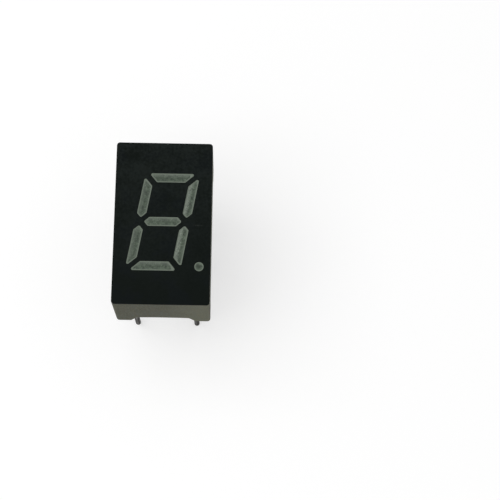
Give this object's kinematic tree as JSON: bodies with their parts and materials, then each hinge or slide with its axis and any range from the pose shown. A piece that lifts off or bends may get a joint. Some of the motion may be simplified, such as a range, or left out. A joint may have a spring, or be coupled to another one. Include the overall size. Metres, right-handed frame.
{
  "type": "seven segment display",
  "caption": "Seven segment display with a decimal point: grey housing, black front, slanted digit, and two rows of leads on a 2.54 mm grid.",
  "frame": {"origin": "centre of the lead grid on the seating plane, where the housing's corner feet meet a circuit board", "axes": "+Z out of the front face, +Y towards the top of the digit, +X to the digit's right"},
  "size_m": [0.0076, 0.0132, 0.014],
  "materials": {
    "housing_plastic": "fine matt moulded grey",
    "black_coat": "matt black print with a faint sheen",
    "diffusing_resin": "smoky translucent resin, unlit",
    "board_laminate": "dark green laminate",
    "copper": "tarnished copper foil",
    "die": "semiconductor die",
    "gold_wire": "drawn gold wire",
    "tinned_lead": "tinned wire, dull",
    "solder": "dull solder",
    "clear_resin": "clear glossy potting over a dark board"
  },
  "bodies": {
    "root": {"housing": "housing_plastic", "front_coat": "black_coat", "segment_a": "diffusing_resin", "segment_b": "diffusing_resin", "segment_c": "diffusing_resin", "segment_d": "diffusing_resin", "segment_e": "diffusing_resin", "segment_f": "diffusing_resin", "segment_g": "diffusing_resin", "decimal_point": "diffusing_resin", "circuit_board": "board_laminate", "front_copper": "copper", "back_copper": "copper", "die_a": "die", "die_b": "die", "die_c": "die", "die_d": "die", "die_e": "die", "die_f": "die", "die_g": "die", "die_dp": "die", "bond_wire_a": "gold_wire", "bond_wire_b": "gold_wire", "bond_wire_c": "gold_wire", "bond_wire_d": "gold_wire", "bond_wire_e": "gold_wire", "bond_wire_f": "gold_wire", "bond_wire_g": "gold_wire", "bond_wire_dp": "gold_wire", "pin_1": "tinned_lead", "pin_2": "tinned_lead", "pin_3": "tinned_lead", "pin_4": "tinned_lead", "pin_5": "tinned_lead", "pin_6": "tinned_lead", "pin_7": "tinned_lead", "pin_8": "tinned_lead", "pin_9": "tinned_lead", "pin_10": "tinned_lead", "solder_1": "solder", "solder_2": "solder", "solder_3": "solder", "solder_4": "solder", "solder_5": "solder", "solder_6": "solder", "solder_7": "solder", "solder_8": "solder", "solder_9": "solder", "solder_10": "solder", "potting": "clear_resin"}
  },
  "joints": []
}
